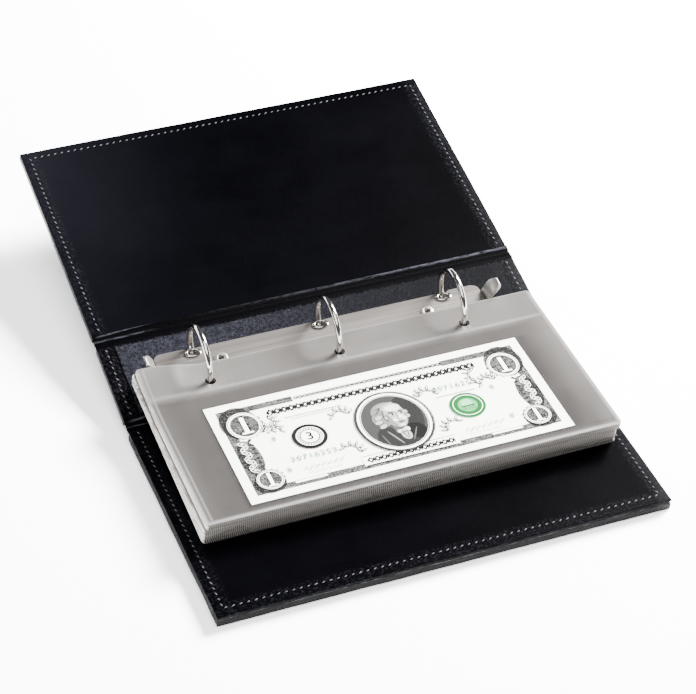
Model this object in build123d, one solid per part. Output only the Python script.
from build123d import *
from math import asin, atan2, cos, degrees, hypot, radians, sin, sqrt, tan
import os

# Ring album for banknotes, lying open: back cover flat on the table, spine and front cover rising
# behind it. X runs along the spine, Y from the back cover's free edge to the front cover's, Z up.
# The origin is the centre of the whole album's footprint, at table height.

# ---- overall sizes (mm) ----
cover_width = 215.0            # along the spine
panel_depth = 127.0            # each cover, from its free edge to its hinge line
spine_width = 53.0             # from hinge line to hinge line, on the inside
spine_tilt = 13.2              # degrees above the table, as the album lies open
front_tilt = 11.1              # degrees above the table

# ---- leather and board ----
outer_base = 1.4               # outer leather under the board
back_tray = 3.6                # outer leather with its turned-in edge, back cover
lining_thick = 1.1             # second leather layer of the back cover
pocket_panel_thick = 1.3       # slip-pocket panel on the back cover's inside
front_tray = 3.4               # the same turned-in edge on the front cover and the spine
inner_leather = 1.2            # inner leather of the front cover and the spine
turn_in = 6.0                  # width of the turned-in edge, which carries the stitching
board_play = 0.15              # room around each board
layer_gap = 0.02               # glue line between layers
corner_radius = 2.0
leather_round = 0.4            # rounded cut edge of a leather layer
hinge_land = 2.0               # covers stop this far before their hinge line
spine_land = 5.0               # spine layers stop this far from each hinge line
hinge_lip = 3.5                # outer leather lies flat on the table this far past the lower hinge
hinge_leather = 1.6            # soft leather that bridges each hinge
spine_lining = 0.4
lining_side_inset = 8.5        # spine lining stops short of the stitched ends
lining_edge_inset = 1.8        # and of the spine leather's long edges

# ---- ring mechanism ----
mechanism_shift = -1.7         # its middle, from the cover's middle
mechanism_place = 21.7         # its centre line, from the lower hinge line
ring_pitch = 64.0
ring_count = 3
ring_radius = 14.25            # to the middle of the wire
wire_radius = 1.4
ring_centre_height = 12.8      # above the spine's inner leather
ring_gap = 0.1                 # where two half rings meet
plate_length = 166.0
plate_width = 24.8
plate_crown = 5.2              # height of the arched plate
plate_side = 3.6               # height of its side walls
plate_sheet = 0.9
plate_corner = 4.0
blade_room = 0.3               # from the plate's side wall to a blade's pivot edge
blade_pivot_height = 2.2
blade_thick = 0.9
blade_length = 160.0
blade_split = 0.15             # half the gap between the blades
blade_swing = 5.5              # degrees from closed to open
wire_seat = 0.03               # clearance of a half ring in its blade
wire_room = 0.9                # clearance of a half ring in the plate's notch
rivet_spacing = 105.0
rivet_shank = 2.4
rivet_bore = 1.5
rivet_flange = 3.5
rivet_flange_thick = 0.4
rivet_head = 4.2
rivet_head_thick = 0.8
rivet_play = 0.05
rivet_room = 1.2               # clearance of the blades around a rivet
lever_width = 8.4
lever_place = 3.4                # behind the mechanism's centre line, clear of the leaves
lever_sheet = 1.1
lever_stand_off = 1.2          # lever, from the plate's end
lever_height = 14.0            # top of the lever
lever_lean = 5.4               # its top leans out this far
lever_finger_thick = 0.5
lever_finger_width = 6.0
lever_finger_height = 0.55     # underside of the finger that lifts the blades
lever_finger_reach = 4.4

# ---- leaves ----
leaf_count = 20
leaf_width = 200.0
leaf_depth = 102.2
leaf_front_pitch = 0.64        # leaf to leaf at the free edge, where the pockets stand off
leaf_ring_pitch = 0.125        # leaf to leaf at the punched edge
leaf_gap = 0.03
stack_lift = 0.2               # lowest leaf above the back cover
top_leaf_offset = 4.46         # upper face of the top leaf, below the rings' centre
leaf_corner = 2.0
hole_radius = 3.6
hole_inset = 12.2              # punched holes, from the leaf's edge
hole_shift = -3.3              # middle hole, from the leaf's middle
leaf_drift = 0.8               # upper leaves sit this far right of the rings, lower ones left
drifted_leaves = 6             # how many of the top leaves sit to the right

# ---- banknote ----
note_width = 156.0
note_depth = 66.3
note_thick = 0.1
note_from_side = 22.5          # from the top leaf's left edge
note_from_front = 5.6          # from the top leaf's free edge
pocket_play = 0.8              # around the note
pocket_clear = 0.04            # above and below the note

# ---- places that follow from the sizes ----
back_thick = back_tray + lining_thick + pocket_panel_thick
front_thick = front_tray + inner_leather
spine_rise = spine_width * sin(radians(spine_tilt))
spine_run = spine_width * cos(radians(spine_tilt))
front_run = panel_depth * cos(radians(front_tilt)) + front_thick * sin(radians(front_tilt))
total_run = panel_depth + spine_run + front_run
hinge_y = panel_depth - total_run / 2
hinge_z = back_thick

back_plane = Plane(origin=(0, hinge_y, hinge_z), x_dir=(1, 0, 0), z_dir=(0, 0, 1))
spine_up = (0, -sin(radians(spine_tilt)), cos(radians(spine_tilt)))
spine_plane = Plane(origin=(0, hinge_y, hinge_z), x_dir=(1, 0, 0), z_dir=spine_up)
upper_hinge = (0, hinge_y + spine_run, hinge_z + spine_rise)
front_up = (0, -sin(radians(front_tilt)), cos(radians(front_tilt)))
front_plane = Plane(origin=upper_hinge, x_dir=(1, 0, 0), z_dir=front_up)
mechanism_plane = Plane(
    origin=spine_plane.from_local_coords((mechanism_shift, mechanism_place, 0)),
    x_dir=(1, 0, 0),
    z_dir=spine_up,
)
ring_centre = mechanism_plane.from_local_coords((0, 0, ring_centre_height))
ring_places = [(i - (ring_count - 1) / 2) * ring_pitch for i in range(ring_count)]
rivet_places = [-rivet_spacing / 2, rivet_spacing / 2]
blade_edge = plate_width / 2 - plate_sheet - blade_room  # pivot edge, from the centre line
plate_arch = ((plate_width / 2) ** 2 + (plate_crown - plate_side) ** 2) / (2 * (plate_crown - plate_side))


def block(x0, x1, y0, y1, z0, z1):
    """A box between two corners."""
    return Pos((x0 + x1) / 2, (y0 + y1) / 2, (z0 + z1) / 2) * Box(x1 - x0, y1 - y0, z1 - z0)


def sheet(y0, y1, z0, z1, free_end=None, width=cover_width, rounded=leather_round):
    """A leather layer across the album. Its corners are rounded at the free end, 0 low or 1 high."""
    body = block(-width / 2, width / 2, y0, y1, z0, z1)
    if free_end is not None:
        corners = body.edges().filter_by(Axis.Z).group_by(Axis.Y)[-free_end]
        body = fillet(corners, corner_radius)
    if rounded:
        rims = [e for e in body.edges() if abs(e.center().Z - z0) < 1e-6 or abs(e.center().Z - z1) < 1e-6]
        body = fillet(rims, min(rounded, 0.45 * (z1 - z0)))
    return body


def rivet_holes(z0, z1, radius=rivet_shank + rivet_play):
    """Round holes for both rivets, in the mechanism's own frame."""
    height = z1 - z0
    return [Pos(x, 0, (z0 + z1) / 2) * Cylinder(radius, height) for x in rivet_places]


def in_spine(shape):
    """From the mechanism's frame to the spine's."""
    return Pos(mechanism_shift, mechanism_place, 0) * shape


# ---- covers ----
def tray(y0, y1, z_low, z_high, free_end, board_ends):
    """Outer leather whose turned-in edge leaves a bed for the board."""
    leather = sheet(y0, y1, z_low, z_high, free_end)
    bed = block(
        -cover_width / 2 + turn_in,
        cover_width / 2 - turn_in,
        board_ends[0],
        board_ends[1],
        z_low + outer_base,
        z_high + 1,
    )
    return leather - bed


def board(z_low, z_high, board_ends):
    return block(
        -cover_width / 2 + turn_in + board_play,
        cover_width / 2 - turn_in - board_play,
        board_ends[0] + board_play,
        board_ends[1] - board_play,
        z_low + outer_base + layer_gap,
        z_high - layer_gap,
    )


back_board_ends = (-panel_depth + turn_in, -hinge_land - turn_in)
front_board_ends = (hinge_land + turn_in, panel_depth - turn_in)
spine_board_ends = (spine_land + turn_in / 2, spine_width - spine_land - turn_in / 2)


def back_outer_leather():
    low = -back_thick
    leather = tray(-panel_depth, -hinge_land, low, low + back_tray, 0, back_board_ends)
    side = cover_width / 2
    lip = block(-side, side, -hinge_land - turn_in / 2, hinge_lip, low, low + outer_base)
    lip_end = lip.edges().filter_by(Axis.X).group_by(Axis.Y)[-1]
    return leather + fillet(lip_end, leather_round)


def back_board():
    return board(-back_thick, -back_thick + back_tray, back_board_ends)


def back_lining_leather():
    top = -pocket_panel_thick
    return sheet(-panel_depth, -hinge_land, top - lining_thick + layer_gap, top, 0)


def back_pocket_panel():
    return sheet(-panel_depth, -hinge_land, -pocket_panel_thick + layer_gap, 0, 0)


def front_outer_leather():
    return tray(hinge_land, panel_depth, -front_thick, -front_thick + front_tray, 1, front_board_ends)


def front_board():
    return board(-front_thick, -front_thick + front_tray, front_board_ends)


def front_inner_leather():
    return sheet(hinge_land, panel_depth, -inner_leather + layer_gap, 0, 1)


# ---- spine ----
def spine_outer_leather():
    leather = tray(
        spine_land, spine_width - spine_land, -front_thick, -inner_leather, None, spine_board_ends
    )
    return leather - in_spine(rivet_holes(-front_thick, 0)[0]) - in_spine(rivet_holes(-front_thick, 0)[1])


def spine_board():
    plain = board(-front_thick, -inner_leather, spine_board_ends)
    return plain - in_spine(rivet_holes(-front_thick, 0)[0]) - in_spine(rivet_holes(-front_thick, 0)[1])


def spine_inner_leather():
    leather = sheet(spine_land, spine_width - spine_land, -inner_leather + layer_gap, 0)
    return leather - in_spine(rivet_holes(-front_thick, 1)[0]) - in_spine(rivet_holes(-front_thick, 1)[1])


def spine_lining_strip():
    strip = sheet(
        spine_land + lining_edge_inset,
        spine_width - spine_land - lining_edge_inset,
        layer_gap,
        spine_lining,
        width=cover_width - 2 * lining_side_inset,
        rounded=0.1,
    )
    return strip - in_spine(rivet_holes(-1, 1)[0]) - in_spine(rivet_holes(-1, 1)[1])


# ---- hinges: soft leather between the stiff panels ----
def hinge_strip(near_plane, near_y, far_plane, far_y, depth):
    """A strip of leather from one panel's edge to the next, `depth` below the inside faces."""
    near_top = near_plane.from_local_coords((0, near_y, -depth))
    near_low = near_plane.from_local_coords((0, near_y, -depth - hinge_leather))
    far_low = far_plane.from_local_coords((0, far_y, -depth - hinge_leather))
    far_top = far_plane.from_local_coords((0, far_y, -depth))
    outline = Polyline(
        [Vector(-cover_width / 2, p.Y, p.Z) for p in (near_top, near_low, far_low, far_top)], close=True
    )
    return extrude(make_face(outline), amount=cover_width, dir=(1, 0, 0))


def lower_hinge_leather():
    edge = layer_gap
    return hinge_strip(back_plane, -hinge_land + edge, spine_plane, spine_land - edge, inner_leather)


def upper_hinge_leather():
    edge = layer_gap
    spine_edge = spine_width - spine_land + edge
    return hinge_strip(spine_plane, spine_edge, front_plane, hinge_land - edge, inner_leather)


# ---- ring mechanism, in its own frame ----
def arch(half_width, side, crown, foot):
    """A plate's cross-section: upright sides under a shallow arch."""
    sides = Polyline((-half_width, side), (-half_width, foot), (half_width, foot), (half_width, side))
    return make_face(sides + ThreePointArc((half_width, side), (0, crown), (-half_width, side)))


def along(profile, length):
    """A cross-section drawn across the mechanism, drawn out along it."""
    return extrude(Plane.YZ * profile, amount=length / 2, both=True)


def cover_plate():
    shell = along(arch(plate_width / 2, plate_side, plate_crown, spine_lining + layer_gap), plate_length)
    rounded_ends = extrude(RectangleRounded(plate_length, plate_width, plate_corner), amount=plate_crown)
    shell = shell & rounded_ends
    inside_crown = plate_crown - plate_sheet
    inside_half = plate_width / 2 - plate_sheet
    inside_side = plate_crown - plate_arch + sqrt((plate_arch - plate_sheet) ** 2 - inside_half**2)
    shell -= along(arch(inside_half, inside_side, inside_crown, -1), plate_length + 2)
    for hole in rivet_holes(0, plate_crown + 1):
        shell -= hole
    notch_half = wire_radius + wire_room
    inner = wire_line(plate_side) - wire_radius - wire_room
    for x in ring_places:
        for side in (-1, 1):
            low, high = sorted((side * inner, side * (plate_width / 2 + 1)))
            shell -= block(x - notch_half, x + notch_half, low, high, 0, plate_crown + 1)
    return shell


def wire_line(height):
    """How far from the centre line a ring's wire passes, at a height."""
    return sqrt(ring_radius**2 - (ring_centre_height - height) ** 2)


def half_ring(x, side, radius=wire_radius, overrun=0.0):
    """Half a ring on the front (-1) or back (+1) side, from its tip down into its blade."""
    foot_height = blade_pivot_height - blade_thick / 2 - overrun
    foot = degrees(asin((ring_centre_height - foot_height) / ring_radius))
    tip = degrees(ring_gap / 2 / ring_radius)
    section = Pos(x, 0, ring_centre_height + ring_radius) * (Plane.XZ * Circle(radius))
    axis = Axis((x, 0, ring_centre_height), (-side, 0, 0))
    half = revolve(section, axis, 90 + foot - tip)
    return half.rotate(axis, tip)


def blade(side):
    """The hinged plate that carries one side's half rings, set at its closed angle."""
    near, far = sorted((side * blade_split, side * blade_edge))
    low = blade_pivot_height - blade_thick / 2
    plate = block(-blade_length / 2, blade_length / 2, near, far, low, low + blade_thick)
    pivot = Axis((0, side * blade_edge, blade_pivot_height), (1, 0, 0))
    plate = plate.rotate(pivot, side * blade_swing / 2)
    for hole in rivet_holes(-1, plate_crown, rivet_shank + rivet_room):
        plate -= hole
    for x in ring_places:
        plate -= half_ring(x, side, wire_radius + wire_seat, 1.0)
    return plate


def rivet(x):
    """A hollow rivet through the plate and the spine, flared inside and domed outside."""
    top = plate_crown + layer_gap
    bottom = -front_thick - layer_gap
    shank = Pos(x, 0, (top + bottom) / 2) * Cylinder(rivet_shank, top - bottom)
    flange = Pos(x, 0, top + rivet_flange_thick / 2) * Cone(
        rivet_flange, rivet_flange - rivet_flange_thick, rivet_flange_thick
    )
    head = Pos(x, 0, bottom - rivet_head_thick / 2) * Cylinder(rivet_head, rivet_head_thick)
    head = fillet(head.edges().group_by(Axis.Z)[0], rivet_head_thick / 2)
    bore = Pos(x, 0, top / 2 + 1) * Cylinder(rivet_bore, top + 2)
    return shank + flange + head - bore


def lever(side):
    """An opening lever: a tab that leans outward, with a finger under the blades."""
    foot = plate_length / 2 + lever_stand_off
    rise = plate_crown
    start = (foot, lever_finger_height + lever_finger_thick)
    knee = (foot, rise)
    tip = (foot + lever_lean, lever_height)
    bulge = (foot + lever_lean * 0.32, (rise + lever_height) / 2)
    path = Line(start, knee) + ThreePointArc(knee, bulge, tip)
    tab = extrude(Plane.XZ * trace(path, lever_sheet), amount=lever_width / 2, both=True)
    head = lever_width / 2
    shoulder = lever_height - head + lever_sheet / 2
    outline = Pos(0, shoulder / 2) * Rectangle(lever_width, shoulder) + Pos(0, shoulder) * Circle(head)
    reach = 2 * (lever_lean + lever_sheet + lever_stand_off)
    tab = tab & Pos(foot, 0, 0) * along(outline, reach)
    tab = Pos(0, lever_place, 0) * tab
    finger = block(
        foot - lever_stand_off - lever_finger_reach,
        foot + lever_sheet / 2,
        -lever_finger_width / 2,
        lever_finger_width / 2,
        lever_finger_height,
        lever_finger_height + lever_finger_thick,
    )
    whole = tab + finger
    return whole if side > 0 else whole.mirror(Plane.YZ)


# ---- leaves: flat wedges, fanned between the back cover and the rings ----
def leaf_face(level):
    """Slope and position of a face between two leaves: (z at the rings' centre line, slope)."""
    front_y = ring_centre.Y - leaf_depth
    front_z = hinge_z + stack_lift + level * leaf_front_pitch
    offset = top_leaf_offset + (leaf_count - level) * leaf_ring_pitch
    away, up = ring_centre.Y - front_y, ring_centre.Z - front_z
    slope = tan(atan2(up, away) - asin(offset / hypot(away, up)))
    return front_z + slope * away, slope


def face_height(level, y):
    z, slope = leaf_face(level)
    return z + slope * (y - ring_centre.Y)


def leaf_hole_y(level):
    """Where a ring's wire passes through a leaf."""
    z, slope = leaf_face(level)
    drop = (ring_centre.Z - z) / sqrt(1 + slope**2)
    foot_y = ring_centre.Y + drop * slope / sqrt(1 + slope**2)
    return foot_y - sqrt(ring_radius**2 - drop**2) / sqrt(1 + slope**2)


def leaf_middle(number):
    drift = leaf_drift if number > leaf_count - drifted_leaves else -leaf_drift
    return mechanism_shift + drift - hole_shift


def leaf(number):
    """One clear leaf, counted from the back cover up: a wedge with three punched holes."""
    hole_y = leaf_hole_y(number - 0.5)
    back_y = hole_y + hole_inset
    front_y = back_y - leaf_depth
    corners = [
        (front_y, face_height(number - 1, front_y) + leaf_gap),
        (back_y, face_height(number - 1, back_y) + leaf_gap),
        (back_y, face_height(number, back_y)),
        (front_y, face_height(number, front_y)),
    ]
    middle = leaf_middle(number)
    profile = make_face(Polyline(corners, close=True))
    film = Pos(middle, 0, 0) * extrude(Plane.YZ * profile, amount=leaf_width / 2, both=True)
    plan = Pos(middle, (front_y + back_y) / 2) * RectangleRounded(leaf_width, leaf_depth, leaf_corner)
    film = film & extrude(plan, amount=hinge_z + leaf_count)
    for x in ring_places:
        film -= Pos(middle + hole_shift + x, hole_y, hinge_z) * Cylinder(hole_radius, 4 * leaf_count)
    return film


def note_place():
    """The note's lower left corner and its slope, in the middle of the top leaf."""
    front_y = leaf_hole_y(leaf_count - 0.5) + hole_inset - leaf_depth
    y = front_y + note_from_front
    mid_low = (face_height(leaf_count - 1, y) + leaf_gap + face_height(leaf_count, y)) / 2
    high_y = y + note_depth
    mid_high = (face_height(leaf_count - 1, high_y) + leaf_gap + face_height(leaf_count, high_y)) / 2
    x = leaf_middle(leaf_count) - leaf_width / 2 + note_from_side
    return Plane(
        origin=(x, y, mid_low), x_dir=(1, 0, 0), z_dir=(0, mid_low - mid_high, note_depth)
    )


def banknote():
    return note_place() * block(0, note_width, 0, note_depth, -note_thick / 2, note_thick / 2)


def top_leaf():
    """The leaf that holds the note, with its pocket open at the right."""
    half = note_thick / 2 + pocket_clear
    slot = block(-pocket_play, leaf_width, -pocket_play, note_depth + pocket_play, -half, half)
    return leaf(leaf_count) - note_place() * slot


def write(name, shape):
    shape.label = name
    export_step(shape, f"parts/{name}.step")


covers = {
    "back_outer_leather": back_plane * back_outer_leather(),
    "back_board": back_plane * back_board(),
    "back_lining_leather": back_plane * back_lining_leather(),
    "back_pocket_panel": back_plane * back_pocket_panel(),
    "lower_hinge_leather": lower_hinge_leather(),
    "spine_outer_leather": spine_plane * spine_outer_leather(),
    "spine_board": spine_plane * spine_board(),
    "spine_inner_leather": spine_plane * spine_inner_leather(),
    "spine_lining": spine_plane * spine_lining_strip(),
    "upper_hinge_leather": upper_hinge_leather(),
    "front_outer_leather": front_plane * front_outer_leather(),
    "front_board": front_plane * front_board(),
    "front_inner_leather": front_plane * front_inner_leather(),
}

mechanism = {
    "ring_cover_plate": cover_plate(),
    "front_blade": blade(-1),
    "back_blade": blade(1),
    "left_rivet": rivet(rivet_places[0]),
    "right_rivet": rivet(rivet_places[1]),
    "left_lever": lever(-1),
    "right_lever": lever(1),
}
for place, x in zip(("left", "middle", "right"), ring_places):
    mechanism[f"{place}_ring_front_half"] = half_ring(x, -1)
    mechanism[f"{place}_ring_back_half"] = half_ring(x, 1)

os.makedirs("parts", exist_ok=True)
for name, shape in covers.items():
    write(name, shape)
for name, shape in mechanism.items():
    write(name, mechanism_plane * shape)
for number in range(1, leaf_count):
    write(f"leaf_{number:02d}", leaf(number))
write(f"leaf_{leaf_count:02d}", top_leaf())
write("banknote", banknote())
